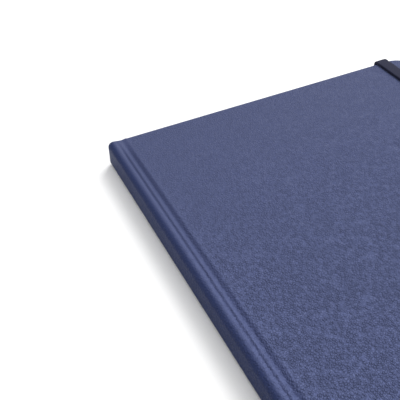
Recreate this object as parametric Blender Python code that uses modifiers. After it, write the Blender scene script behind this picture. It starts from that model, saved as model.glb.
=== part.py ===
"""Pilot logbook: a case-bound A5 book with a leatherette cover, rounded fore-edge
corners, sewn sections and an elastic closure band. Metres, +Z up. The book lies
on its back cover, with its spine towards -X and its head towards +Y."""

import math

import bmesh
import bpy
from mathutils import Matrix, Vector

MM = 0.001

# ---- overall size ----
COVER_WIDTH = 148.0 * MM
COVER_HEIGHT = 210.0 * MM
BOOK_THICKNESS = 10.4 * MM
CORNER_RADIUS = 10.0 * MM

# ---- case: leather, board, turned-in leather, paper ----
LEATHER = 0.45 * MM
GLUE_GAP = 0.10 * MM
BOARD = 1.50 * MM
TURN_IN = 0.30 * MM
PAPER = 0.15 * MM
TURN_IN_WIDTH = 14.0 * MM
EDGE_ROUNDING = 0.7 * MM
BOARD_EDGE_ROUNDING = 0.12 * MM
PASTEDOWN_INSET = 3.5 * MM

# ---- joint groove, from the spine's outer face ----
BOARD_START = 8.1 * MM
SHOULDER_RADIUS = 2.3 * MM
SHOULDER_FROM = 66.0
JOINT_FROM = 74.0
GROOVE_DEPTH = 1.15 * MM
# (share of the way from the shoulder to the board, share of the groove's depth)
JOINT_PROFILE = (
    (0.05, -0.05), (0.14, -0.04), (0.24, 0.10), (0.345, 0.05), (0.43, 0.03), (0.50, 0.24),
    (0.57, 0.71), (0.64, 1.0), (0.71, 0.97), (0.78, 0.70), (0.85, 0.31), (0.93, 0.10),
)
JOINT_LEATHER = 0.40 * MM

# ---- spine ----
SPINE_BOARD = 1.40 * MM
SPINE_TURN_IN_WIDTH = 12.0 * MM

# ---- text block ----
SQUARE = 3.0 * MM
SECTIONS_PER_HALF = 3
PAPER_GAP = 0.15 * MM
SECTION_GAP = 0.10 * MM
BLOCK_CORNER_RADIUS = 7.0 * MM
HOLLOW = 0.27 * MM
LINING = 0.16 * MM
MULL = 0.25 * MM
SPINE_GLUE = 0.18 * MM
MULL_MARGIN = 10.0 * MM
LINING_MARGIN = 0.1 * MM
LINING_END_MARGIN = 1.0 * MM
FOLD_ROUNDING = 0.42
HEADBAND_BEAD = 0.55 * MM
HEADBAND_TONGUE = 8.0 * MM

# ---- elastic closure band ----
BAND_WIDTH = 5.8 * MM
BAND_THICKNESS = 1.0 * MM
BAND_FROM_FORE_EDGE = 13.8 * MM
BAND_GAP = 0.12 * MM
BAND_BEND = 0.75 * MM
BAND_END_LENGTH = 14.0 * MM
BAND_END_THICKNESS = 0.28 * MM
BAND_ROUNDING = 0.3 * MM

# ---- drawing detail ----
CUTTER_REACH = 5.0 * MM
SEAM = 0.02 * MM
CORNER_STEPS = 8
SHOULDER_STEPS = 7

# ---- levels that follow from the sizes ----
SPINE_INNER_FACE = LEATHER + GLUE_GAP + SPINE_BOARD + GLUE_GAP + TURN_IN
LINING_FROM = SPINE_INNER_FACE + HOLLOW
MULL_FROM = LINING_FROM + LINING + SPINE_GLUE
BLOCK_START = MULL_FROM + MULL + SPINE_GLUE
SPINE_BOARD_BOTTOM = SHOULDER_RADIUS - GLUE_GAP
INNER_FACE = LEATHER + GLUE_GAP + BOARD + GLUE_GAP + TURN_IN + GLUE_GAP + PAPER
BLOCK_BOTTOM = INNER_FACE + PAPER_GAP
BLOCK_TOP = BOOK_THICKNESS - BLOCK_BOTTOM
BLOCK_HALF = (BLOCK_TOP - BLOCK_BOTTOM) / 2
SECTION_PITCH = (BLOCK_HALF - PAPER - SECTION_GAP / 2) / SECTIONS_PER_HALF
HALF_HEIGHT = COVER_HEIGHT / 2
LEFT = -COVER_WIDTH / 2
BAND_CENTRE = COVER_WIDTH - BAND_FROM_FORE_EDGE

COLOURS = {
    "leather": ((0.095, 0.112, 0.215, 1), 0.55, 0.0),
    "board": ((0.36, 0.31, 0.24, 1), 0.9, 0.0),
    "endpaper": ((0.78, 0.75, 0.68, 1), 0.8, 0.0),
    "page": ((0.86, 0.84, 0.77, 1), 0.85, 0.0),
    "elastic": ((0.028, 0.032, 0.062, 1), 0.75, 0.0),
    "cloth": ((0.66, 0.63, 0.56, 1), 0.95, 0.0),
    "thread": ((0.10, 0.12, 0.24, 1), 0.7, 0.0),
}


def clear_scene():
    for item in list(bpy.data.objects):
        bpy.data.objects.remove(item, do_unlink=True)


def new_collection(name):
    made = bpy.data.collections.new(name)
    bpy.context.scene.collection.children.link(made)
    return made


def new_material(node, kind):
    colour, roughness, metallic = COLOURS[kind]
    made = bpy.data.materials.new(node + "_material")
    made.use_nodes = True
    shader = made.node_tree.nodes["Principled BSDF"]
    shader.inputs["Base Color"].default_value = colour
    shader.inputs["Roughness"].default_value = roughness
    shader.inputs["Metallic"].default_value = metallic
    made.diffuse_color = colour
    return made


def new_object(name, bm, collection, kind=None):
    """A mesh object with its own material. A closed one has its faces turned outwards."""
    if all(edge.is_manifold for edge in bm.edges):
        bmesh.ops.recalc_face_normals(bm, faces=bm.faces)
    mesh = bpy.data.meshes.new(name)
    bm.to_mesh(mesh)
    bm.free()
    made = bpy.data.objects.new(name, mesh)
    collection.objects.link(made)
    if kind:
        made.data.materials.append(new_material(name, kind))
        made.data.shade_smooth()
    return made


def set_origin(item, x, z):
    """Moves the object's origin onto its joint axis and leaves its shape in place."""
    for vertex in item.data.vertices:
        vertex.co.x -= x
        vertex.co.z -= z
    item.location.x = x
    item.location.z = z


def arc(centre, radius, start, end, steps):
    """Points on an arc in a plane, with its angles in degrees."""
    points = []
    for i in range(steps + 1):
        angle = math.radians(start + (end - start) * i / steps)
        points.append((centre[0] + radius * math.cos(angle), centre[1] + radius * math.sin(angle)))
    return points


def box(x0, x1, y0, y1, z0, z1):
    """A box whose X is measured from the spine's outer face."""
    bm = bmesh.new()
    middle = Vector((LEFT + (x0 + x1) / 2, (y0 + y1) / 2, (z0 + z1) / 2))
    size = Matrix.Diagonal((x1 - x0, y1 - y0, z1 - z0, 1))
    bmesh.ops.create_cube(bm, size=1, matrix=Matrix.Translation(middle) @ size)
    return bm


def slab(x0, x1, half_height, z_range, radius=0):
    """A flat sheet or board whose two corners at x1, the fore edge, are rounded."""
    bm = box(x0, x1, -half_height, half_height, *z_range)
    if radius > 0:
        middle_x = LEFT + (x0 + x1) / 2
        upright = []
        for edge in bm.edges:
            a, b = (v.co for v in edge.verts)
            if abs(a.z - b.z) > abs(a.y - b.y) + abs(a.x - b.x) and a.x > middle_x:
                upright.append(edge)
        bmesh.ops.bevel(bm, geom=upright, offset=radius, segments=CORNER_STEPS, profile=0.5,
                        affect="EDGES", clamp_overlap=False)
    return bm


def drawn_sheet(profile, along, inside):
    """An open sheet: a profile drawn out by a vector, with its faces turned away from a point inside."""
    bm = bmesh.new()
    points = [bm.verts.new(p) for p in profile]
    edges = [bm.edges.new(pair) for pair in zip(points, points[1:])]
    made = bmesh.ops.extrude_edge_only(bm, edges=edges)["geom"]
    moved = [item for item in made if isinstance(item, bmesh.types.BMVert)]
    bmesh.ops.translate(bm, verts=moved, vec=along)
    bmesh.ops.recalc_face_normals(bm, faces=bm.faces)
    outward = 0.0
    for face in bm.faces:
        away = face.calc_center_median() - Vector(inside)
        outward += face.calc_area() * face.normal.dot(away)
    if outward < 0:
        bmesh.ops.reverse_faces(bm, faces=bm.faces)
    return bm


def case_sheet(profile):
    """A sheet as tall as the covers, from a profile in XZ, facing out of the book."""
    points = [(LEFT + x, -HALF_HEIGHT, z) for x, z in profile]
    inside = (LEFT + 2 * SHOULDER_RADIUS, 0, BOOK_THICKNESS / 2)
    return drawn_sheet(points, (0, COVER_HEIGHT, 0), inside)


def drawn_solid(outline, z0, z1):
    """A closed solid: a flat outline in XY, drawn up from z0 to z1."""
    bm = bmesh.new()
    base = bm.faces.new([bm.verts.new((LEFT + x, y, z0)) for x, y in outline])
    made = bmesh.ops.extrude_face_region(bm, geom=[base])["geom"]
    moved = [item for item in made if isinstance(item, bmesh.types.BMVert)]
    bmesh.ops.translate(bm, verts=moved, vec=(0, 0, z1 - z0))
    return bm


def mirrored(z):
    return BOOK_THICKNESS - z


def level(z, top):
    """A height above the table, or the same height below the front cover's plane."""
    return mirrored(z) if top else z


def between(z0, z1, top):
    a = level(z0, top)
    b = level(z1, top)
    return min(a, b), max(a, b)


def add_bevel(item, width, segments=3, limit="ANGLE"):
    bevel = item.modifiers.new("rounded_edges", "BEVEL")
    bevel.width = width
    bevel.segments = segments
    bevel.limit_method = limit
    bevel.angle_limit = math.radians(50)
    bevel.use_clamp_overlap = True
    bevel.harden_normals = False
    return bevel


def add_boolean(item, cutter, operation):
    boolean = item.modifiers.new(operation.lower() + "_" + cutter.name, "BOOLEAN")
    boolean.operation = operation
    boolean.solver = "EXACT"
    boolean.object = cutter


def new_cutter(name, bm):
    made = new_object(name, bm, cutters)
    made.hide_render = True
    made.display_type = "WIRE"
    return made


def add_solidify(item, thickness, offset=-1):
    shell = item.modifiers.new("thickness", "SOLIDIFY")
    shell.thickness = thickness
    shell.offset = offset
    shell.use_even_offset = True
    shell.use_rim = True


# ---------------------------------------------------------------- the two covers

def make_cover(side, top):
    """Board, wrapped leather and pastedown of the front cover (top) or the back cover."""
    board_base = LEATHER + GLUE_GAP
    board_top = board_base + BOARD
    leather_top = board_top + GLUE_GAP + TURN_IN
    inset = LEATHER + GLUE_GAP
    bm = slab(BOARD_START + GLUE_GAP, COVER_WIDTH - inset, HALF_HEIGHT - inset,
              between(board_base, board_top, top), CORNER_RADIUS - inset)
    board = new_object(side + "_board", bm, book, "board")
    add_bevel(board, BOARD_EDGE_ROUNDING, 1)

    bm = slab(BOARD_START, COVER_WIDTH, HALF_HEIGHT, between(0, leather_top, top), CORNER_RADIUS)
    leather = new_object(side + "_cover_leather", bm, book, "leather")
    add_bevel(leather, EDGE_ROUNDING, 3)
    bm = slab(BOARD_START - CUTTER_REACH, COVER_WIDTH - LEATHER, HALF_HEIGHT - LEATHER,
              between(LEATHER, board_top + GLUE_GAP, top), CORNER_RADIUS - LEATHER)
    add_boolean(leather, new_cutter(side + "_board_room", bm), "DIFFERENCE")
    bm = slab(BOARD_START - CUTTER_REACH, COVER_WIDTH - TURN_IN_WIDTH, HALF_HEIGHT - TURN_IN_WIDTH,
              between(board_top, leather_top + CUTTER_REACH, top))
    add_boolean(leather, new_cutter(side + "_turn_in_window", bm), "DIFFERENCE")

    paper_z = leather_top + GLUE_GAP
    bm = slab(BLOCK_START + GLUE_GAP, COVER_WIDTH - PASTEDOWN_INSET, HALF_HEIGHT - PASTEDOWN_INSET,
              between(paper_z, paper_z + PAPER, top), CORNER_RADIUS - PASTEDOWN_INSET)
    paper = new_object(side + "_pastedown", bm, book, "endpaper")
    return [board, leather, paper]


def cut_band_slots(leather):
    """Two slots in the back cover's turned-in leather, where the band's ends are glued."""
    base = LEATHER + GLUE_GAP + BOARD + GLUE_GAP / 2
    half = BAND_WIDTH / 2 + BAND_GAP
    inner = HALF_HEIGHT - BAND_END_LENGTH - BAND_GAP
    for name, sign in (("head", 1), ("tail", -1)):
        y0, y1 = sorted((sign * inner, sign * (HALF_HEIGHT + CUTTER_REACH)))
        slot = box(BAND_CENTRE - half, BAND_CENTRE + half, y0, y1, base, base + CUTTER_REACH)
        add_boolean(leather, new_cutter(name + "_band_slot", slot), "DIFFERENCE")


# ---------------------------------------------------------------- spine and joints

def shoulder(top, start, end):
    """The rounded shoulder between the spine's face and the cover's plane."""
    middle = (SHOULDER_RADIUS, SHOULDER_RADIUS)
    points = arc(middle, SHOULDER_RADIUS, 180 + start, 180 + end, SHOULDER_STEPS)
    return [(x, level(z, top)) for x, z in points]


def make_spine():
    """The spine's board, and the leather that wraps it and turns in at head and tail."""
    board_x = LEATHER + GLUE_GAP
    low = SPINE_BOARD_BOTTOM
    high = BOOK_THICKNESS - low
    bm = slab(board_x, board_x + SPINE_BOARD, HALF_HEIGHT - board_x, (low, high))
    board = new_object("spine_board", bm, book, "board")
    add_bevel(board, BOARD_EDGE_ROUNDING, 1)

    face = list(reversed(shoulder(False, 0, SHOULDER_FROM))) + shoulder(True, 0, SHOULDER_FROM)
    leather = new_object("spine_leather", case_sheet(face), book, "leather")
    add_solidify(leather, LEATHER)
    flap_x = board_x + SPINE_BOARD + GLUE_GAP
    for name, sign in (("head", 1), ("tail", -1)):
        y0, y1 = sorted((sign * (HALF_HEIGHT - LEATHER), sign * (HALF_HEIGHT - SEAM)))
        cap = box(LEATHER / 2, flap_x + TURN_IN, y0, y1, low, high)
        add_boolean(leather, new_cutter(name + "_spine_edge", cap), "UNION")
        y0, y1 = sorted((sign * (HALF_HEIGHT - SPINE_TURN_IN_WIDTH), sign * (HALF_HEIGHT - LEATHER / 2)))
        flap = box(flap_x, flap_x + TURN_IN - SEAM, y0, y1, low + SEAM, high - SEAM)
        add_boolean(leather, new_cutter(name + "_spine_turn_in", flap), "UNION")
    return [board, leather]


def make_joint(side, top):
    """The flexible leather between the spine's shoulder and the cover's board."""
    profile = shoulder(top, JOINT_FROM, 90)
    for share, depth in JOINT_PROFILE:
        x = SHOULDER_RADIUS + share * (BOARD_START - SHOULDER_RADIUS)
        z = depth * GROOVE_DEPTH
        profile.append((x, level(z if top else max(z, 0), top)))
    joint = new_object(side + "_joint_leather", case_sheet(profile), book, "leather")
    add_solidify(joint, JOINT_LEATHER)
    return joint


# ---------------------------------------------------------------- text block

def leaf_slab(z_range):
    """A slab with the outline of the page block."""
    return slab(BLOCK_START, COVER_WIDTH - SQUARE, HALF_HEIGHT - SQUARE, z_range, BLOCK_CORNER_RADIUS)


def make_leaves(top):
    """One half of the block: a flyleaf, then folded sections down to the middle opening."""
    side = "front" if top else "back"
    z_range = between(BLOCK_BOTTOM, BLOCK_BOTTOM + PAPER, top)
    made = [new_object(side + "_flyleaf", leaf_slab(z_range), book, "endpaper")]
    for i in range(SECTIONS_PER_HALF):
        z0 = BLOCK_BOTTOM + PAPER + SECTION_GAP + SECTION_PITCH * i
        z1 = z0 + SECTION_PITCH - SECTION_GAP
        number = i + 1 if top else 2 * SECTIONS_PER_HALF - i
        section = new_object(f"page_section_{number}", leaf_slab(between(z0, z1, top)), book, "page")
        round_fold(section, (z1 - z0) * FOLD_ROUNDING)
        made.append(section)
    return made


def round_fold(section, width):
    """Rounds the two long edges at the section's sewn fold."""
    weights = section.data.attributes.new("bevel_weight_edge", "FLOAT", "EDGE")
    for edge in section.data.edges:
        a, b = (section.data.vertices[v].co for v in edge.vertices)
        at_fold = max(a.x, b.x) < LEFT + BLOCK_START + SQUARE
        if at_fold and abs(a.y - b.y) > HALF_HEIGHT:
            weights.data[edge.index].value = 1.0
    add_bevel(section, width, 3, "WEIGHT")


def make_spine_linings():
    """Gauze and paper glued over the sewn folds, and the two headbands."""
    low = BLOCK_BOTTOM + LINING_MARGIN
    high = BLOCK_TOP - LINING_MARGIN
    half = HALF_HEIGHT - SQUARE - MULL_MARGIN
    mull = new_object("mull_gauze", slab(MULL_FROM, MULL_FROM + MULL, half, (low, high)), book, "cloth")
    half = HALF_HEIGHT - SQUARE - LINING_END_MARGIN
    bm = slab(LINING_FROM, LINING_FROM + LINING, half, (low, high))
    lining = new_object("spine_lining_paper", bm, book, "endpaper")
    made = [mull, lining]
    for name, sign in (("head", 1), ("tail", -1)):
        made.append(make_headband(name, sign, low, high))
    return made


def make_headband(name, sign, low, high):
    """A cloth band: a bead over the ends of the folds and a tongue glued behind them."""
    edge = HALF_HEIGHT - SQUARE
    behind = MULL_FROM + MULL
    bead = (MULL_FROM + HEADBAND_BEAD + GLUE_GAP, edge + HEADBAND_BEAD + PAPER_GAP)
    points = arc(bead, HEADBAND_BEAD, -90, 150, 10)
    points += [(MULL_FROM, bead[1]), (MULL_FROM, edge - HEADBAND_TONGUE)]
    points += [(behind, edge - HEADBAND_TONGUE), (behind, edge + PAPER_GAP)]
    outline = [(x, sign * y) for x, y in points]
    return new_object(name + "_band", drawn_solid(outline, low, high), book, "thread")


# ---------------------------------------------------------------- elastic closure

def make_elastic():
    """The closure band over the front cover, and its two glued ends in the back cover."""
    x0 = BAND_CENTRE - BAND_WIDTH / 2
    x1 = BAND_CENTRE + BAND_WIDTH / 2
    outer_y = HALF_HEIGHT + BAND_GAP + BAND_THICKNESS / 2
    outer_z = BOOK_THICKNESS + BAND_GAP + BAND_THICKNESS / 2
    r = BAND_BEND
    path = [(outer_y, LEATHER + GLUE_GAP + BOARD)]
    path += arc((outer_y - r, outer_z - r), r, 0, 90, 6)
    path += [(-y, z) for y, z in reversed(path)]
    points = [(LEFT + x0, y, z) for y, z in path]
    bm = drawn_sheet(points, (BAND_WIDTH, 0, 0), (0, 0, 0))
    band = new_object("elastic_band", bm, book, "elastic")
    add_solidify(band, BAND_THICKNESS, 0)
    add_bevel(band, BAND_ROUNDING, 2)

    ends = []
    base = LEATHER + GLUE_GAP + BOARD + GLUE_GAP
    for name, sign in (("head", 1), ("tail", -1)):
        y0, y1 = sorted((sign * (HALF_HEIGHT - BAND_END_LENGTH), sign * HALF_HEIGHT))
        tab = box(x0, x1, y0, y1, base, base + BAND_END_THICKNESS)
        ends.append(new_object("elastic_end_" + name, tab, book, "elastic"))
    return band, ends


# ---------------------------------------------------------------- assembly

# hinge lines, from the spine's outer face and the table
JOINT_AXIS = SHOULDER_RADIUS + 0.5 * MM
LEAVES_AXIS_X = BLOCK_START - 0.3 * MM
LEAVES_AXIS_Z = BOOK_THICKNESS / 2

clear_scene()
book = new_collection("pilot_logbook")
cutters = new_collection("cutters")

back_cover = make_cover("back", False)
cut_band_slots(back_cover[1])
front_cover = make_cover("front", True)
spine = make_spine()
back_joint = make_joint("back", False)
front_joint = make_joint("front", True)
back_leaves = make_leaves(False)
front_leaves = make_leaves(True)
linings = make_spine_linings()
elastic_band, elastic_ends = make_elastic()

for piece in spine + [back_joint, front_joint]:
    set_origin(piece, LEFT + JOINT_AXIS, JOINT_AXIS)
for piece in front_cover:
    set_origin(piece, LEFT + JOINT_AXIS, BOOK_THICKNESS - JOINT_AXIS)
for piece in front_leaves:
    set_origin(piece, LEFT + LEAVES_AXIS_X, LEAVES_AXIS_Z)
set_origin(elastic_band, LEFT + BAND_CENTRE, 0)
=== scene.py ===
"""The looks of a pilot logbook: navy leatherette case, grooved joints, elastic band, page block.

Lengths in the shape code are millimetres, measured from the spine's outer face (x), the middle
of the book (y) and the table (z), and they become metres in the frame when a mesh is made."""

import math

import bpy
import numpy as np
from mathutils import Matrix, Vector


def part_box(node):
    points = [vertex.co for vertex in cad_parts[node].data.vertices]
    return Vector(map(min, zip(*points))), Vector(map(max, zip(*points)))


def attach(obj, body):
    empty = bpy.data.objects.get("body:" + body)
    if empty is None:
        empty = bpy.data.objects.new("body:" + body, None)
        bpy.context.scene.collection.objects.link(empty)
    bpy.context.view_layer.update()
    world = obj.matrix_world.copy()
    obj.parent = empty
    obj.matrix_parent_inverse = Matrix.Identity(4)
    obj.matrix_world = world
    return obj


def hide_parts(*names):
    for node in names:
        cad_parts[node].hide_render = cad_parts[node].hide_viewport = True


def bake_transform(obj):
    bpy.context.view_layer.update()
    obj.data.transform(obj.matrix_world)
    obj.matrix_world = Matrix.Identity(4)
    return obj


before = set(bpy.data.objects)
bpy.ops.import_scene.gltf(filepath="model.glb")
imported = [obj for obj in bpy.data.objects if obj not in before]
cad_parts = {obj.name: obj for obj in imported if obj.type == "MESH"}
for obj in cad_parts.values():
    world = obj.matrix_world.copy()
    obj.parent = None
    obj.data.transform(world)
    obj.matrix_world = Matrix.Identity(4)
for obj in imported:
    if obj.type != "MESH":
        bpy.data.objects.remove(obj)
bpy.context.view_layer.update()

MM = 0.001

# ---------------------------------------------------------------- sizes, read from the frame

COVER_LOW, COVER_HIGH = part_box("front_cover_leather")
SPINE_LOW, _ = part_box("spine_leather")
BAND_LOW, BAND_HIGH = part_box("elastic_band")

LEFT = SPINE_LOW.x / MM
WIDTH = (COVER_HIGH.x - SPINE_LOW.x) / MM
HALF_HEIGHT = COVER_HIGH.y / MM
THICKNESS = COVER_HIGH.z / MM
COVER_DEPTH = (COVER_HIGH.z - COVER_LOW.z) / MM
CORNER = 10.0
PASTEDOWN_CORNER = CORNER - 3.5
LEAF_CORNER = CORNER - 3.0

# ---------------------------------------------------------------- mesh helpers


def smoothstep(t):
    t = np.clip(t, 0, 1)
    return t * t * (3 - 2 * t)


class MeshParts:
    """Collects vertices and faces in millimetres, and makes one mesh object of them."""

    def __init__(self):
        self.points = []
        self.faces = []
        self.kinds = []

    def add_points(self, rows):
        start = len(self.points)
        self.points.extend([tuple(p) for p in rows])
        return list(range(start, start + len(rows)))

    def add_face(self, corners, kind=0):
        unique = list(dict.fromkeys(corners))
        if len(unique) > 2:
            self.faces.append(unique)
            self.kinds.append(kind)

    def add_grid(self, rows, kind=0, closed=False):
        """Faces between rows of indices, all the same length."""
        for a, b in zip(rows, rows[1:]):
            count = len(a)
            for i in range(count if closed else count - 1):
                j = (i + 1) % count
                self.add_face([a[i], a[j], b[j], b[i]], kind)

    def make(self, name, materials):
        mesh = bpy.data.meshes.new(name)
        co = np.array(self.points, float)
        co[:, 0] += LEFT
        mesh.from_pydata((co * MM).tolist(), [], self.faces)
        for i, kind in enumerate(self.kinds):
            mesh.polygons[i].material_index = kind
        mesh.update()
        made = bpy.data.objects.new(name, mesh)
        bpy.context.scene.collection.objects.link(made)
        for material in materials:
            mesh.materials.append(material)
        keep_rest(made)
        mesh.shade_smooth()
        return made


def keep_rest(item):
    """Stores each point's place at rest in millimetres, which the materials are drawn from."""
    mesh = item.data
    co = np.zeros(len(mesh.vertices) * 3)
    mesh.vertices.foreach_get("co", co)
    rest = mesh.attributes.get("rest_mm") or mesh.attributes.new("rest_mm", "FLOAT_VECTOR", "POINT")
    rest.data.foreach_set("vector", (co / MM).astype(np.float32))


def orient(item, inside):
    """Turns the faces away from a point inside, judged over the whole mesh."""
    mesh = item.data
    total = 0.0
    for face in mesh.polygons:
        away = face.center - Vector(inside)
        total += face.area * face.normal.dot(away.normalized())
    if total < 0:
        mesh.flip_normals()


# ---------------------------------------------------------------- the case

# the leather's rounding over the outer and inner edge of a board, and the strip of it seen inside
EDGE_ROUND = 0.85
INNER_ROUND = 0.45
EDGE_FLAT = 2.2
TURN_IN_SHOWN = 7.0
# how thick the case is at the head and tail edge of the spine and of the joint
SPINE_DEPTH = 2.35
JOINT_DEPTH = 0.95
# the rounded shoulder between the spine and the cover, down and across
SHOULDER = 1.7
SHOULDER_WIDTH = 2.3
# the cover's flat panel, its slight sag towards the middle and its long, shallow waves
PANEL_START = 9.4
PANEL_STEP = 4.0
PANEL_SAG = 0.03
WAVE_HEIGHT = 0.05
SAG_FROM_JOINT = 6.0
SAG_FROM_EDGE = 8.0
# the pressed valleys of the joint, away from its ends: (middle, depth, reach before, reach after)
CREASE = (3.55, 0.48, 0.95, 0.85)
GROOVE = (5.75, 0.98, 1.20, 1.95)
# at the head and tail the turned-in leather holds the joint up, with one shallow valley
END_VALLEY = (5.55, 0.25, 2.4, 2.2)
END_LIFT = 0.20
END_LIFT_REACH = (2.0, 3.9)
END_FADE = 13.0
# rows over the book's height: a close stretch at the head and tail, and the rest
CLOSE_ROWS = 16
CLOSE_COUNT = 10
MIDDLE_COUNT = 14


def valley(x, middle, depth, before, after):
    """A rounded valley's height at x, below zero, with its own reach to each side."""
    share = np.where(x < middle, (middle - x) / before, (x - middle) / after)
    return -depth * (0.5 + 0.5 * np.cos(math.pi * np.clip(share, 0, 1)))


def shoulder_profile(lift):
    """Mid-spine to the end of the rounded shoulder, as (x, z) with z below the cover's plane."""
    points = [(0.0, z) for z in np.linspace(-THICKNESS / 2, -SHOULDER, 5)]
    for angle in np.linspace(0, math.pi / 2, 12)[1:-1]:
        rise = lift * smoothstep(angle / (math.pi / 2))
        x = SHOULDER_WIDTH * (1 - math.cos(angle))
        points.append((x, -SHOULDER * (1 - math.sin(angle)) + rise))
    return points


def case_profile(inboard, proud):
    """The case's outer line across the book at one height, from mid-spine to the cover's panel."""
    x = np.linspace(SHOULDER_WIDTH, PANEL_START, 48)
    lift = (1 - inboard) * END_LIFT * proud
    inner = valley(x, *CREASE) + valley(x, *GROOVE)
    start, end = END_LIFT_REACH
    ends = proud * END_LIFT * (1 - smoothstep((x - start) / (end - start))) + valley(x, *END_VALLEY)
    height = inner * inboard + ends * (1 - inboard)
    return np.array(shoulder_profile(lift) + list(zip(x, height)))


def inward_normals(profile):
    tangent = np.gradient(profile, axis=0)
    tangent /= np.linalg.norm(tangent, axis=1)[:, None]
    return np.stack([tangent[:, 1], -tangent[:, 0]], axis=1)


def row_shares():
    """Rows along the book's height, closer together near its head and tail, in shares of half of it."""
    near = np.linspace(0, CLOSE_ROWS, CLOSE_COUNT)
    middle = np.linspace(CLOSE_ROWS, HALF_HEIGHT, MIDDLE_COUNT)[1:]
    inset = np.concatenate([near, middle])
    half = 1 - inset / HALF_HEIGHT
    return np.concatenate([-half, half[::-1][1:]])


def panel_columns(x0, x1, corner, inset, step):
    """Columns of a panel whose corners at x1 are rounded: (x, half height lost there, outward angle)."""
    straight = np.linspace(x0, x1 - corner, max(2, int((x1 - corner - x0) / step)))
    found = [(x, inset, 0.0) for x in straight]
    for angle in np.linspace(0, math.pi / 2, 9)[1:]:
        x = x1 - corner + (corner - inset) * math.sin(angle)
        found.append((x, corner - (corner - inset) * math.cos(angle), angle))
    return found


def edge_steps(depth):
    """The leather's path over the board's edge: its first rounding, and (inset, depth) at each step."""
    r = min(EDGE_ROUND, depth * 0.5)
    r2 = min(INNER_ROUND, depth * 0.4)
    steps = []
    for angle in np.linspace(0, math.pi / 2, 6)[1:]:
        steps.append((r - r * math.sin(angle), r - r * math.cos(angle)))
    for angle in np.linspace(0, math.pi / 2, 5):
        steps.append((r2 - r2 * math.cos(angle), depth - r2 + r2 * math.sin(angle)))
    steps.append((EDGE_FLAT, depth))
    steps.append((TURN_IN_SHOWN, depth))
    return r, steps


def depth_along(profile):
    """How thick the case is at the head and tail edge: spine, joint or board."""
    x, z = profile[:, 0], profile[:, 1]
    depth = np.full(len(profile), JOINT_DEPTH)
    on_spine = 1 - smoothstep((z + SHOULDER + 0.3) / 1.6)
    depth += (SPINE_DEPTH - JOINT_DEPTH) * np.where(x < SHOULDER_WIDTH, on_spine, 0)
    depth += (COVER_DEPTH - JOINT_DEPTH) * smoothstep((x - 7.3) / 1.4)
    return depth


def waves(x, y, seed):
    """A few long, shallow undulations, in shares of one."""
    rng = np.random.default_rng(seed)
    total = np.zeros_like(x)
    for _ in range(6):
        length = rng.uniform(25, 80)
        angle = rng.uniform(0, math.pi)
        phase = rng.uniform(0, 2 * math.pi)
        along = x * math.cos(angle) + y * math.sin(angle)
        total += np.sin(along * 2 * math.pi / length + phase)
    return total / 6


def panel_height(x, y, seed):
    """The cover panel's height against its plane: a slight sag and shallow waves, none at its rim."""
    settle = smoothstep((x - PANEL_START) / SAG_FROM_JOINT) * smoothstep((WIDTH - x) / SAG_FROM_EDGE)
    settle *= smoothstep((HALF_HEIGHT - abs(y)) / SAG_FROM_EDGE)
    return float(waves(np.array(x), np.array(y), seed)) * WAVE_HEIGHT * settle - PANEL_SAG * settle


def case_rows(profiles, edges, panel, seed):
    """The outer face, one row of (x, y, z) for each height, with z against the cover's plane."""
    rows = []
    for share, profile in zip(row_shares(), profiles):
        row = [(x, share * (HALF_HEIGHT - inset), z) for (x, z), (inset, _) in zip(profile, edges)]
        for x, lost, _ in panel:
            y = share * (HALF_HEIGHT - lost)
            row.append((x, y, panel_height(x, y, seed)))
        rows.append(row)
    return rows


def case_rim(rows, index, profiles, edges, panel):
    """Round the head, fore edge and tail: (vertex, place, outward, inward, edge steps) at each point."""
    count = len(profiles[0])
    last = len(rows[0]) - 1
    board_edge = edge_steps(COVER_DEPTH)
    ends = []
    for j, sign in ((len(rows) - 1, 1), (0, -1)):
        normals = inward_normals(profiles[j])
        side = []
        for i in range(last + 1):
            if i < count:
                outward, inward, steps = (0.0, sign), tuple(normals[i]), edges[i]
            else:
                angle = panel[i - count][2]
                outward = (math.sin(angle), sign * math.cos(angle))
                inward, steps = (0.0, -1.0), board_edge
            side.append((index[j][i], rows[j][i], outward, inward, steps))
        ends.append(side)
    head, tail = ends
    fore = []
    for j in range(len(rows) - 2, 0, -1):
        fore.append((index[j][last], rows[j][last], (1.0, 0.0), (0.0, -1.0), board_edge))
    return head + fore + tail[::-1]


def make_case(name, top, material, seed):
    """Half of the case: from mid-spine over the joint and cover, wrapped over every edge."""
    parts = MeshParts()
    proud = 1.0 if top else 0.0
    inboard = smoothstep((HALF_HEIGHT - np.abs(row_shares()) * HALF_HEIGHT) / END_FADE)
    profiles = [case_profile(share, proud) for share in inboard]
    edges = [edge_steps(depth) for depth in depth_along(case_profile(1.0, proud))]
    panel = panel_columns(PANEL_START, WIDTH, CORNER, EDGE_ROUND, PANEL_STEP)[1:]
    rows = case_rows(profiles, edges, panel, seed)
    place = (lambda z: THICKNESS + z) if top else (lambda z: max(-z, 0.0))
    index = [parts.add_points([(x, y, place(z)) for x, y, z in row]) for row in rows]
    parts.add_grid(index)

    rim = case_rim(rows, index, profiles, edges, panel)
    levels = [[entry[0] for entry in rim]]
    for k in range(len(edges[0][1])):
        made = []
        for _, (x, y, z), outward, inward, (r, steps) in rim:
            inset, down = steps[k]
            out = r - inset
            made.append((x + outward[0] * out + inward[0] * down, y + outward[1] * out,
                         place(z + inward[1] * down)))
        levels.append(parts.add_points(made))
    parts.add_grid(levels)
    made = parts.make(name, [material])
    orient(made, (0.0, 0.0, THICKNESS / 2 * MM))
    return made


# ---------------------------------------------------------------- sheets and page sections


PAD_STEP = 6.0


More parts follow.
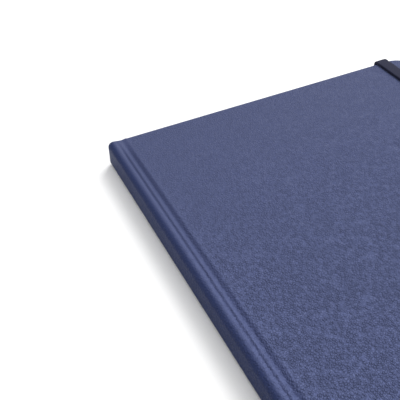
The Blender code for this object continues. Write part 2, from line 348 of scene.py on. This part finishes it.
def pad_outline(columns, rows, index):
    """A pad's rim in order round it, as (vertex, place, outward)."""
    n = len(rows) - 1
    m = len(columns) - 1
    angles = [column[2] for column in columns]
    rim = []
    for i in range(m + 1):
        rim.append((index[n][i], rows[n][i], (math.sin(angles[i]), math.cos(angles[i]))))
    for j in range(n - 1, 0, -1):
        rim.append((index[j][m], rows[j][m], (1.0, 0.0)))
    for i in range(m, -1, -1):
        rim.append((index[0][i], rows[0][i], (math.sin(angles[i]), -math.cos(angles[i]))))
    for j in range(1, n):
        rim.append((index[j][0], rows[j][0], (-1.0, 0.0)))
    return rim


def make_pad(name, x0, x1, half_height, corner, wall, materials):
    """A flat pad. wall is its side from top to bottom, as (inset from the outline, z)."""
    parts = MeshParts()
    inset_top, z_top = wall[0]
    _, z_end = wall[-1]
    outlines = []
    for inset, z in (wall[0], wall[-1]):
        columns = panel_columns(x0 + inset, x1, corner, inset, PAD_STEP)
        rows = [[(x, share * (half_height - lost), z) for x, lost, _ in columns] for share in row_shares()]
        index = [parts.add_points(row) for row in rows]
        parts.add_grid(index)
        outlines.append(pad_outline(columns, rows, index))

    upper, lower = outlines
    levels = [[entry[0] for entry in upper]]
    for inset, z in wall[1:-1]:
        out = inset_top - inset
        levels.append(parts.add_points([(x + outward[0] * out, y + outward[1] * out, z)
                                        for _, (x, y, _), outward in upper]))
    levels.append([entry[0] for entry in lower])
    parts.add_grid(levels, len(materials) - 1, closed=True)
    made = parts.make(name, materials)
    middle = (LEFT + (x0 + x1) / 2) * MM
    orient(made, (middle, 0.0, (z_top + z_end) / 2 * MM))
    return made


WALL_END_INSET = 0.12
LEAF_INSET = 0.02
LEAF_UNEVENNESS = 0.09
LEAF_EDGE_ROUND = 0.05


def leaf_wall(z_high, z_low, leaves, seed):
    """The side of a stack of leaves: each leaf's edge stands out by its own small amount."""
    rng = np.random.default_rng(seed)
    wall = [(WALL_END_INSET, z_high)]
    pitch = (z_high - z_low) / leaves
    for k in range(leaves):
        inset = LEAF_INSET + LEAF_UNEVENNESS * rng.random()
        top = z_high - pitch * k
        wall.append((inset + LEAF_EDGE_ROUND, top - pitch * 0.12))
        wall.append((inset, top - pitch * 0.3))
        wall.append((inset, top - pitch * 0.7))
        wall.append((inset + LEAF_EDGE_ROUND, top - pitch * 0.88))
    wall.append((WALL_END_INSET, z_low))
    return wall


# ---------------------------------------------------------------- elastic band

BAND_WIDTH = (BAND_HIGH.x - BAND_LOW.x) / MM
BAND_CENTRE = (BAND_LOW.x + BAND_HIGH.x - 2 * SPINE_LOW.x) / MM / 2
# the woven band is a little thicker and looser than its CAD solid
BAND_TOP = BAND_HIGH.z / MM + 0.16
BAND_OUT = BAND_HIGH.y / MM + 0.30
BAND_THICK = 1.2
BAND_EDGE_ROUND = 0.34
BAND_CROWN = 0.03
# the centre line's bends over the cover's edge and under the back board
HEAD_BEND = 0.95
FOOT_BEND = 1.05
FOOT_BEND_FROM = 3.75
FOOT_THINNING = 0.55
# inside the back cover, flattened under the pastedown: (distance from the cover's edge, z, thickness)
BAND_TAIL = ((2.6, 2.66, 0.36), (4.2, 2.50, 0.22), (12.0, 2.46, 0.16))


def band_path():
    """Half of the band's centre line, from the book's middle to the glued end, as (y, z, thickness)."""
    z_run = BAND_TOP - BAND_THICK / 2 - 0.04
    y_leg = BAND_OUT - BAND_THICK / 2 - 0.05
    path = [(y, z_run - 0.02, BAND_THICK) for y in np.linspace(0, HALF_HEIGHT - 3.0, 44)]
    for angle in np.linspace(0, math.pi / 2, 8):
        path.append((y_leg - HEAD_BEND + HEAD_BEND * math.sin(angle),
                     z_run - HEAD_BEND + HEAD_BEND * math.cos(angle), BAND_THICK))
    path += [(y_leg, z, BAND_THICK) for z in np.linspace(z_run - HEAD_BEND - 0.8, 4.2, 6)]
    for angle in np.linspace(0, math.pi / 2, 7)[1:]:
        share = angle / (math.pi / 2)
        path.append((y_leg - FOOT_BEND + FOOT_BEND * math.cos(angle),
                     FOOT_BEND_FROM - FOOT_BEND * math.sin(angle) - 0.02 * share,
                     BAND_THICK - FOOT_THINNING * share))
    return path + [(HALF_HEIGHT - inset, z, thick) for inset, z, thick in BAND_TAIL]


def band_ring(thick):
    """The band's section: soft edges and a very slight crown, as (across, through) in millimetres."""
    half = BAND_WIDTH / 2
    r = min(BAND_EDGE_ROUND, thick * 0.45)
    points = []
    for cx, ct, start in ((half - r, thick / 2 - r, 0), (r - half, thick / 2 - r, 90),
                          (r - half, r - thick / 2, 180), (half - r, r - thick / 2, 270)):
        for angle in np.linspace(start, start + 90, 4):
            a = math.radians(angle)
            points.append((cx + r * math.cos(a), ct + r * math.sin(a)))
        if start == 0:
            points += [(half * share, thick / 2 + BAND_CROWN) for share in (0.6, 0.3, 0.0, -0.3, -0.6)]
        if start == 180:
            points += [(half * share, -thick / 2) for share in (-0.5, 0.0, 0.5)]
    return points


def make_band(name, sign, material):
    """Half of the band: over the cover, round its edge and into the back cover."""
    parts = MeshParts()
    path = np.array(band_path())
    tangent = np.gradient(path[:, :2], axis=0)
    tangent /= np.linalg.norm(tangent, axis=1)[:, None]
    rings = []
    for (y, z, thick), (ty, tz) in zip(path, tangent):
        rings.append(parts.add_points([(BAND_CENTRE + across, sign * (y - tz * through), z + ty * through)
                                       for across, through in band_ring(thick)]))
    parts.add_grid(rings, closed=True)
    parts.add_face(rings[-1])
    made = parts.make(name, [material])
    orient_top_up(made)
    return made


def orient_top_up(item):
    """Turns a band's faces outwards, judged on its top run."""
    mesh = item.data
    total = 0.0
    for face in mesh.polygons:
        if face.center.z > (BAND_TOP - 0.4) * MM:
            total += face.area * face.normal.z
    if total < 0:
        mesh.flip_normals()


# ---------------------------------------------------------------- materials


class Shader:
    """A small builder of a Principled material whose textures follow the mesh at rest."""

    def __init__(self, name):
        self.material = bpy.data.materials.new(name)
        self.material.use_nodes = True
        self.tree = self.material.node_tree
        self.shader = self.tree.nodes["Principled BSDF"]
        self.rest = self.node("ShaderNodeAttribute", attribute_name="rest_mm").outputs["Vector"]

    def node(self, kind, inputs=None, **settings):
        made = self.tree.nodes.new(kind)
        for key, value in settings.items():
            setattr(made, key, value)
        for key, value in (inputs or {}).items():
            self.put(made.inputs[key], value)
        return made

    def put(self, socket, value):
        if isinstance(value, bpy.types.NodeSocket):
            self.tree.links.new(value, socket)
        else:
            socket.default_value = value

    def math(self, operation, a, b=0.0, c=0.0, clamp=False):
        made = self.node("ShaderNodeMath", operation=operation, use_clamp=clamp)
        for socket, value in zip(made.inputs, (a, b, c)):
            self.put(socket, value)
        return made.outputs[0]

    def scaled(self, x, y, z):
        made = self.node("ShaderNodeVectorMath", operation="MULTIPLY")
        self.put(made.inputs[0], self.rest)
        made.inputs[1].default_value = (x, y, z)
        return made.outputs[0]

    def axes(self):
        made = self.node("ShaderNodeSeparateXYZ", {"Vector": self.rest})
        return made.outputs

    def noise(self, scale, detail=2.0, roughness=0.5, vector=None, distortion=0.0):
        made = self.node("ShaderNodeTexNoise", {"Scale": scale, "Detail": detail, "Roughness": roughness,
                                                "Distortion": distortion})
        self.put(made.inputs["Vector"], vector or self.rest)
        return made.outputs["Fac"]

    def cells(self, scale, feature="SMOOTH_F1", smooth=0.4, vector=None):
        made = self.node("ShaderNodeTexVoronoi", {"Scale": scale}, feature=feature)
        if feature == "SMOOTH_F1":
            made.inputs["Smoothness"].default_value = smooth
        self.put(made.inputs["Vector"], vector or self.rest)
        return made.outputs["Distance"]

    def between(self, value, low, high, to_low=0.0, to_high=1.0):
        made = self.node("ShaderNodeMapRange", {"Value": value, "From Min": low, "From Max": high,
                                                "To Min": to_low, "To Max": to_high})
        made.interpolation_type = "SMOOTHSTEP"
        return made.outputs["Result"]

    def mix(self, factor, a, b):
        made = self.node("ShaderNodeMix", data_type="RGBA")
        self.put(made.inputs["Factor"], factor)
        self.put(made.inputs["A"], a)
        self.put(made.inputs["B"], b)
        return made.outputs["Result"]

    def bump(self, height, strength, distance_mm, normal=None):
        made = self.node("ShaderNodeBump", {"Height": height, "Strength": strength,
                                            "Distance": distance_mm * MM})
        if normal is not None:
            self.put(made.inputs["Normal"], normal)
        return made.outputs["Normal"]

    def finish(self, colour, roughness, normal=None, specular=0.5, sheen=0.0):
        self.put(self.shader.inputs["Base Color"], colour)
        self.put(self.shader.inputs["Roughness"], roughness)
        self.shader.inputs["Specular IOR Level"].default_value = specular
        self.shader.inputs["Sheen Weight"].default_value = sheen
        if normal is not None:
            self.put(self.shader.inputs["Normal"], normal)
        return self.material


PEBBLES_PER_MM = 1.25
PEBBLE_WARP_MM = 1.4
GRAIN_DEPTH_MM = 0.38
# the joint's shaded valleys: (distance from the spine's outer face, half width, strength)
SHADED_VALLEYS = ((3.95, 0.75, 0.25), (6.60, 1.5, 0.42))


def near_line(s, across, at, half_width, strength):
    """A soft line along the spine, strongest at its own distance from the spine's outer face."""
    distance = s.math("ABSOLUTE", s.math("SUBTRACT", across, LEFT + at))
    return s.between(distance, 0.0, half_width, strength, 0.0)


def leather_grain(s, across, along):
    """Pebbles, their creases, fine pores, how much of them shows, and the normal they give."""
    drift = s.node("ShaderNodeTexNoise", {"Scale": 0.16, "Detail": 2.0, "Roughness": 0.4})
    s.put(drift.inputs["Vector"], s.rest)
    warp = s.node("ShaderNodeVectorMath", operation="MULTIPLY_ADD")
    s.put(warp.inputs[0], drift.outputs["Color"])
    warp.inputs[1].default_value = (PEBBLE_WARP_MM, PEBBLE_WARP_MM, PEBBLE_WARP_MM)
    s.put(warp.inputs[2], s.rest)
    warped = warp.outputs[0]
    domes = s.between(s.cells(PEBBLES_PER_MM, vector=warped, smooth=0.06), 0.05, 0.62, 1.0, 0.0)
    border = s.cells(PEBBLES_PER_MM, feature="DISTANCE_TO_EDGE", vector=warped)
    depth = s.between(s.noise(0.9, 1.0, 0.5), 0.36, 0.60, 0.8, 1.0)
    crease = s.math("MULTIPLY", s.between(border, 0.0, 0.14, 1.0, 0.0), depth)
    fine = s.noise(2.6, 1.0, 0.5)
    # the skin is stretched smooth over the joint, and rubbed smoother towards the head
    stretched = s.between(across, LEFT + 6.0, LEFT + 10.0, 0.36, 1.0)
    patchy = s.between(s.noise(0.09, 1.0, 0.5), 0.35, 0.65, 0.95, 1.0)
    rubbed = s.between(along, -30.0, 95.0, 1.95, 0.5)
    shown = s.math("MULTIPLY", stretched, patchy)
    height = s.math("ADD", s.math("MULTIPLY", domes, 0.8), s.math("MULTIPLY", fine, 0.12))
    height = s.math("SUBTRACT", height, s.math("MULTIPLY", crease, 0.35))
    relief = s.math("MULTIPLY", shown, rubbed)
    return crease, fine, shown, s.bump(s.math("MULTIPLY", height, relief), 1.0, GRAIN_DEPTH_MM)


def leather_material():
    """Navy leatherette: pebbles under a millimetre wide and finer pores, with painted shade in the grain's
    creases, the joint's valleys and on the spine, and painted light towards the tail.
    """
    s = Shader("navy_leatherette")
    across, along, _ = s.axes()
    crease, fine, shown, normal = leather_grain(s, across, along)
    # painted shade: the colour the grain's creases are darkened to
    crease_painted_shade = (0.048, 0.060, 0.138, 1)
    mid = (0.062, 0.076, 0.159, 1)
    pale = (0.078, 0.095, 0.197, 1)
    # painted light: the lighter colour the leather takes towards the tail
    tail = (0.107, 0.131, 0.272, 1)
    valley_shade = (0.030, 0.040, 0.110, 1)
    # painted shade: the colour the spine's side face is darkened to
    spine_painted_shade = (0.018, 0.028, 0.088, 1)
    # painted shade: the leather is darkened in the grain's creases
    tone = s.mix(s.math("MULTIPLY", s.between(crease, 0.0, 0.85), shown), mid, crease_painted_shade)
    tone = s.mix(s.math("MULTIPLY", s.between(fine, 0.50, 0.70, 0.0, 0.6), shown), tone, pale)
    # painted light: the leather is lighter towards the tail
    tone = s.mix(s.between(along, -30.0, 100.0, 0.75, 0.0), tone, tail)
    tone = s.mix(s.between(s.noise(0.045, 2.0, 0.5), 0.35, 0.7, 0.0, 0.06), tone, pale)
    crease_line, groove_line = (near_line(s, across, *line) for line in SHADED_VALLEYS)
    tone = s.mix(s.math("MAXIMUM", crease_line, groove_line), tone, valley_shade)
    # painted shade: the spine's side face is darkened in colour
    tone = s.mix(s.between(across, LEFT + 0.9, LEFT + 3.1, 0.95, 0.0), tone, spine_painted_shade)
    return s.finish(tone, s.between(crease, 0.0, 1.0, 0.50, 0.70), normal, specular=0.11)


RIB_PITCH_MM = 0.72
WEFT_PITCH_MM = 0.55


def elastic_material():
    """Woven elastic: fine lengthwise ribs crossed by the weft, with a slight fuzz."""
    s = Shader("navy_elastic")
    x, y, z = s.axes()
    along = s.math("ADD", y, z)
    rib = s.math("SINE", s.math("MULTIPLY", x, 2 * math.pi / RIB_PITCH_MM))
    weft = s.math("SINE", s.math("MULTIPLY", s.math("ADD", along, s.math("MULTIPLY", rib, 0.12)),
                                 2 * math.pi / WEFT_PITCH_MM))
    weave = s.math("MULTIPLY_ADD", s.math("MULTIPLY", rib, weft), 0.3, 0.5)
    height = s.math("ADD", s.math("MULTIPLY", rib, 0.25), weave)
    fuzz = s.noise(5.0, 3.0, 0.6)
    height = s.math("ADD", height, s.math("MULTIPLY", fuzz, 0.3))
    normal = s.bump(height, 0.6, 0.12)
    tone = s.mix(s.between(weave, 0.2, 0.8), (0.007, 0.008, 0.024, 1), (0.020, 0.023, 0.052, 1))
    tone = s.mix(s.between(fuzz, 0.55, 0.75, 0.0, 0.5), tone, (0.036, 0.040, 0.078, 1))
    return s.finish(tone, 0.85, normal, specular=0.16, sheen=0.06)


def paper_material(name, base, deep, ruled=False):
    """Soft, slightly fibrous and cloudy paper, plain or ruled."""
    s = Shader(name)
    fibre = s.noise(1.6, 4.0, 0.65)
    cloud = s.noise(0.05, 2.0, 0.5)
    tone = s.mix(s.between(fibre, 0.35, 0.7, 0.0, 0.35), base, deep)
    tone = s.mix(s.between(cloud, 0.4, 0.7, 0.0, 0.3), tone, deep)
    if ruled:
        tone = s.mix(ruled_lines(s), tone, (0.10, 0.19, 0.30, 1))
    normal = s.bump(fibre, 0.12, 0.05)
    return s.finish(tone, 0.86, normal, specular=0.3)


# the flight table on a page, in millimetres from the book's middle
ROW_PITCH = 6.5
ROW_HALF_WIDTH = 0.13
COLUMN_HALF_WIDTH = 0.16
HEADING_HEIGHT = 12.8
HEADING_HALF_WIDTH = 0.24
TABLE_X = (-62.0, 62.0)
TABLE_Y = (-91.0, 84.0)
COLUMN_RULES = (-62.0, -50.0, -34.0, -16.0, 2.0, 12.0, 22.0, 32.0, 42.0, 52.0, 62.0)
RULE_STRENGTH = 0.75


def within(s, value, low, high):
    return s.math("MULTIPLY", s.math("GREATER_THAN", value, low), s.math("LESS_THAN", value, high))


def line_at(s, value, at, half_width):
    return s.math("LESS_THAN", s.math("ABSOLUTE", s.math("SUBTRACT", value, at)), half_width)


def ruled_lines(s):
    """A flight table's rules on the page: even rows, a deep heading, and its columns."""
    x, y, _ = s.axes()
    inside_x = within(s, x, TABLE_X[0] - 0.15, TABLE_X[1] + 0.15)
    inside_y = within(s, y, TABLE_Y[0] - 0.15, TABLE_Y[1] + 13.0)
    row_share = s.math("DIVIDE", s.math("SUBTRACT", y, TABLE_Y[0] - ROW_PITCH / 2), ROW_PITCH)
    from_row = s.math("ABSOLUTE", s.math("SUBTRACT", s.math("FRACT", row_share), 0.5))
    lines = s.math("MULTIPLY", s.math("LESS_THAN", from_row, ROW_HALF_WIDTH / ROW_PITCH),
                   s.math("LESS_THAN", y, TABLE_Y[1]))
    for at in (TABLE_Y[1], TABLE_Y[1] + HEADING_HEIGHT):
        lines = s.math("MAXIMUM", lines, line_at(s, y, at, HEADING_HALF_WIDTH))
    for at in COLUMN_RULES:
        lines = s.math("MAXIMUM", lines, line_at(s, x, at, COLUMN_HALF_WIDTH))
    shown = s.math("MULTIPLY", lines, s.math("MULTIPLY", inside_x, inside_y))
    return s.math("MULTIPLY", shown, RULE_STRENGTH)


def leaf_edge_material():
    """Cut page edges: hairline layers, a little uneven."""
    s = Shader("page_edges")
    _, _, z = s.axes()
    wobble = s.noise(0.06, 2.0, 0.5)
    layer = s.math("SINE", s.math("MULTIPLY", s.math("ADD", z, s.math("MULTIPLY", wobble, 0.25)),
                                  2 * math.pi / 0.085))
    streak = s.noise(1.0, 3.0, 0.6, vector=s.scaled(0.12, 0.12, 9.0))
    tone = s.mix(s.between(layer, -1.0, 1.0, 0.0, 0.45), (0.70, 0.67, 0.59, 1), (0.46, 0.42, 0.35, 1))
    tone = s.mix(s.between(streak, 0.4, 0.65, 0.0, 0.4), tone, (0.52, 0.48, 0.40, 1))
    normal = s.bump(layer, 0.25, 0.03)
    return s.finish(tone, 0.9, normal, specular=0.2)


def cloth_material(name, one, two, pitch, stripe=None):
    """Plain woven cloth, with optional stripes across the band."""
    s = Shader(name)
    x, y, z = s.axes()
    turn = 2 * math.pi / pitch
    warp = s.math("SINE", s.math("MULTIPLY", s.math("ADD", x, y), turn))
    weft = s.math("SINE", s.math("MULTIPLY", z, turn))
    weave = s.math("MULTIPLY", warp, weft)
    tone = s.mix(s.between(weave, -0.6, 0.6), one, two)
    if stripe:
        band = s.math("SINE", s.math("MULTIPLY", z, 2 * math.pi / stripe))
        tone = s.mix(s.between(band, -0.1, 0.1, 0.0, 0.9), tone, (0.70, 0.68, 0.62, 1))
    normal = s.bump(weave, 0.6, 0.06)
    return s.finish(tone, 0.9, normal, specular=0.2)


def greyboard_material():
    """Flecked grey board, drawn from object coordinates because the CAD boards have no rest_mm."""
    s = Shader("greyboard")
    s.rest = s.node("ShaderNodeTexCoord").outputs["Object"]
    flecks = s.noise(900.0, 4.0, 0.7)
    tone = s.mix(s.between(flecks, 0.35, 0.65), (0.30, 0.26, 0.20, 1), (0.42, 0.37, 0.29, 1))
    return s.finish(tone, 0.92, s.bump(flecks, 0.3, 0.05), specular=0.2)


LEATHER = leather_material()
ELASTIC = elastic_material()
ENDPAPER = paper_material("endpaper", (0.62, 0.58, 0.48, 1), (0.54, 0.50, 0.41, 1))
PAGE = paper_material("ruled_page", (0.68, 0.66, 0.58, 1), (0.62, 0.59, 0.51, 1), ruled=True)
PAGE_PLAIN = paper_material("plain_page", (0.68, 0.66, 0.58, 1), (0.62, 0.59, 0.51, 1))
EDGES = leaf_edge_material()
GAUZE = cloth_material("gauze", (0.52, 0.49, 0.42, 1), (0.74, 0.71, 0.64, 1), 0.8)
HEADBAND = cloth_material("headband", (0.05, 0.06, 0.13, 1), (0.11, 0.13, 0.24, 1), 0.35, stripe=1.1)
BOARD = greyboard_material()

# ---------------------------------------------------------------- the book

case_front = make_case("case_front", True, LEATHER, 3)
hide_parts("front_cover_leather", "front_joint_leather", "spine_leather")
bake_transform(case_front)

case_back = make_case("case_back", False, LEATHER, 8)
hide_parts("back_cover_leather", "back_joint_leather", "spine_leather")
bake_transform(case_back)

for node in ("front_board", "back_board", "spine_board"):
    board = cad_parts[node]
    board.data.materials.clear()
    board.data.materials.append(BOARD)


def sheet_like(node, name, body, materials, corner):
    """A thin pad in a CAD sheet's place."""
    low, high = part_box(node)
    z_high, z_low = high.z / MM, low.z / MM
    middle = (z_high + z_low) / 2
    wall = [(0.05, z_high), (0.0, middle + 0.03), (0.0, middle - 0.03), (0.05, z_low)]
    made = make_pad(name, (low.x - SPINE_LOW.x) / MM, (high.x - SPINE_LOW.x) / MM, high.y / MM, corner, wall,
                    materials)
    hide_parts(node)
    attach(made, body)
    return made


sheet_like("front_pastedown", "pastedown_front", "front_cover", [ENDPAPER], PASTEDOWN_CORNER)
sheet_like("back_pastedown", "pastedown_back", "back_cover", [ENDPAPER], PASTEDOWN_CORNER)
sheet_like("front_flyleaf", "flyleaf_front", "front_leaves", [ENDPAPER], LEAF_CORNER)
sheet_like("back_flyleaf", "flyleaf_back", "back_cover", [ENDPAPER], LEAF_CORNER)

LEAVES_PER_SECTION = 8
FRONT_SECTIONS = 3
FIRST_LEAF_SEED = 40

for number in range(1, 7):
    node = f"page_section_{number}"
    low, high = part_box(node)
    x0 = (low.x - SPINE_LOW.x) / MM
    x1 = (high.x - SPINE_LOW.x) / MM
    wall = leaf_wall(high.z / MM, low.z / MM, LEAVES_PER_SECTION, FIRST_LEAF_SEED + number)
    faces = PAGE if number in (FRONT_SECTIONS, FRONT_SECTIONS + 1) else PAGE_PLAIN
    section = make_pad(f"section_{number}", x0, x1, high.y / MM, LEAF_CORNER, wall, [faces, EDGES])
    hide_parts(node)
    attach(section, "front_leaves" if number <= FRONT_SECTIONS else "back_cover")


def spine_strip(node, name, material):
    """A flexible strip behind the folds."""
    low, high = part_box(node)
    parts = MeshParts()
    x0 = (low.x - SPINE_LOW.x) / MM
    x1 = (high.x - SPINE_LOW.x) / MM
    heights = np.linspace(low.z / MM, high.z / MM, 9)
    ys = np.linspace(low.y / MM, high.y / MM, 24)
    outline = [(x0, y) for y in ys] + [(x1, y) for y in ys[::-1]]
    rings = [parts.add_points([(x, y, z) for x, y in outline]) for z in heights]
    parts.add_grid(rings, closed=True)
    parts.add_face(rings[0])
    parts.add_face(rings[-1])
    made = parts.make(name, [material])
    orient(made, ((low.x + high.x) / 2, 0, (low.z + high.z) / 2))
    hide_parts(node)
    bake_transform(made)
    return made


spine_strip("mull_gauze", "mull", GAUZE)
spine_strip("spine_lining_paper", "spine_lining", ENDPAPER)


HEADBAND_BEAD = 0.55
HEADBAND_THREAD_PITCH = 0.62
HEADBAND_SWELL = 0.05
HEADBAND_TONGUE = 0.25


def make_headband(node, name, sign):
    """A corded cloth band over the ends of the folds."""
    low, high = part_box(node)
    x0 = (low.x - SPINE_LOW.x) / MM
    tip = max(abs(low.y), abs(high.y)) / MM
    root = min(abs(low.y), abs(high.y)) / MM
    cx = x0 + HEADBAND_BEAD + 0.1
    cy = tip - HEADBAND_BEAD
    back = x0 + HEADBAND_TONGUE
    parts = MeshParts()
    rings = []
    for z in np.linspace(low.z / MM, high.z / MM, 15):
        swell = HEADBAND_SWELL * math.sin((z - low.z / MM) * 2 * math.pi / HEADBAND_THREAD_PITCH)
        r = HEADBAND_BEAD - 0.03 + swell
        ring = []
        for angle in np.linspace(-90, 150, 12):
            a = math.radians(angle)
            ring.append((cx + r * math.cos(a), sign * (cy + r * math.sin(a)), z))
        ring += [(x0, sign * (cy - 0.3), z), (x0, sign * root, z), (back, sign * root, z),
                 (back, sign * (cy - HEADBAND_BEAD - 0.2), z)]
        rings.append(parts.add_points(ring))
    parts.add_grid(rings, closed=True)
    parts.add_face(rings[0])
    parts.add_face(rings[-1])
    made = parts.make(name, [HEADBAND])
    orient(made, ((LEFT + cx) * MM, sign * cy * MM, (low.z + high.z) / 2))
    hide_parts(node)
    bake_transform(made)
    return made


make_headband("head_band", "headband_head", 1)
make_headband("tail_band", "headband_tail", -1)

for end, sign in (("head", 1), ("tail", -1)):
    half_band = make_band(f"band_{end}", sign, ELASTIC)
    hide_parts("elastic_band", "elastic_end_" + end)
    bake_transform(half_band)

# ---------------------------------------------------------------- floor, light and camera

FLOOR_REACH = 6.0
FLOOR_GAP = 0.0001

floor_mesh = bpy.data.meshes.new("floor")
corners = [(-FLOOR_REACH, -FLOOR_REACH, 0), (FLOOR_REACH, -FLOOR_REACH, 0), (FLOOR_REACH, FLOOR_REACH, 0),
           (-FLOOR_REACH, FLOOR_REACH, 0)]
floor_mesh.from_pydata(corners, [], [(0, 1, 2, 3)])
floor = bpy.data.objects.new("floor", floor_mesh)
bpy.context.scene.collection.objects.link(floor)
floor.location.z = -FLOOR_GAP
white = bpy.data.materials.new("white_floor")
white.use_nodes = True
white.node_tree.nodes["Principled BSDF"].inputs["Base Color"].default_value = (0.94, 0.94, 0.94, 1)
white.node_tree.nodes["Principled BSDF"].inputs["Roughness"].default_value = 0.9
floor_mesh.materials.append(white)

world = bpy.data.worlds.new("studio")
bpy.context.scene.world = world
world.use_nodes = True
world.node_tree.nodes["Background"].inputs["Color"].default_value = (1, 1, 1, 1)
world.node_tree.nodes["Background"].inputs["Strength"].default_value = 0.61
bpy.context.scene.view_settings.view_transform = "Standard"


def area_light(name, at, towards, size, power):
    data = bpy.data.lights.new(name, "AREA")
    data.energy = power
    data.size = size
    lamp = bpy.data.objects.new(name, data)
    bpy.context.scene.collection.objects.link(lamp)
    lamp.location = at
    direction = Vector(towards) - Vector(at)
    lamp.rotation_euler = direction.to_track_quat("-Z", "Y").to_euler()


area_light("key", (0.75, 0.65, 1.0), (0, 0, 0), 0.72, 13.9)
area_light("overhead", (0.1, -0.6, 1.35), (0, 0, 0), 1.5, 9.5)

# the camera stands out from the spine's tail half and looks down and across to the head; millimetres,
# degrees
CAMERA_FROM_SPINE = -52.6
CAMERA_FROM_HEAD = -182.0
CAMERA_ABOVE_COVER = 141.85
CAMERA_TURN = 27.05
CAMERA_DOWN = 42.74
LENS = 54.07

camera = bpy.data.objects.new("camera", bpy.data.cameras.new("camera"))
bpy.context.scene.collection.objects.link(camera)
camera.data.lens = LENS
camera.data.sensor_width = 36.0
camera.data.clip_start = 0.01
camera.location = ((LEFT + CAMERA_FROM_SPINE) * MM, (HALF_HEIGHT + CAMERA_FROM_HEAD) * MM,
                   (THICKNESS + CAMERA_ABOVE_COVER) * MM)
camera.rotation_euler = (math.radians(90 - CAMERA_DOWN), 0, math.radians(-CAMERA_TURN))
bpy.context.scene.camera = camera
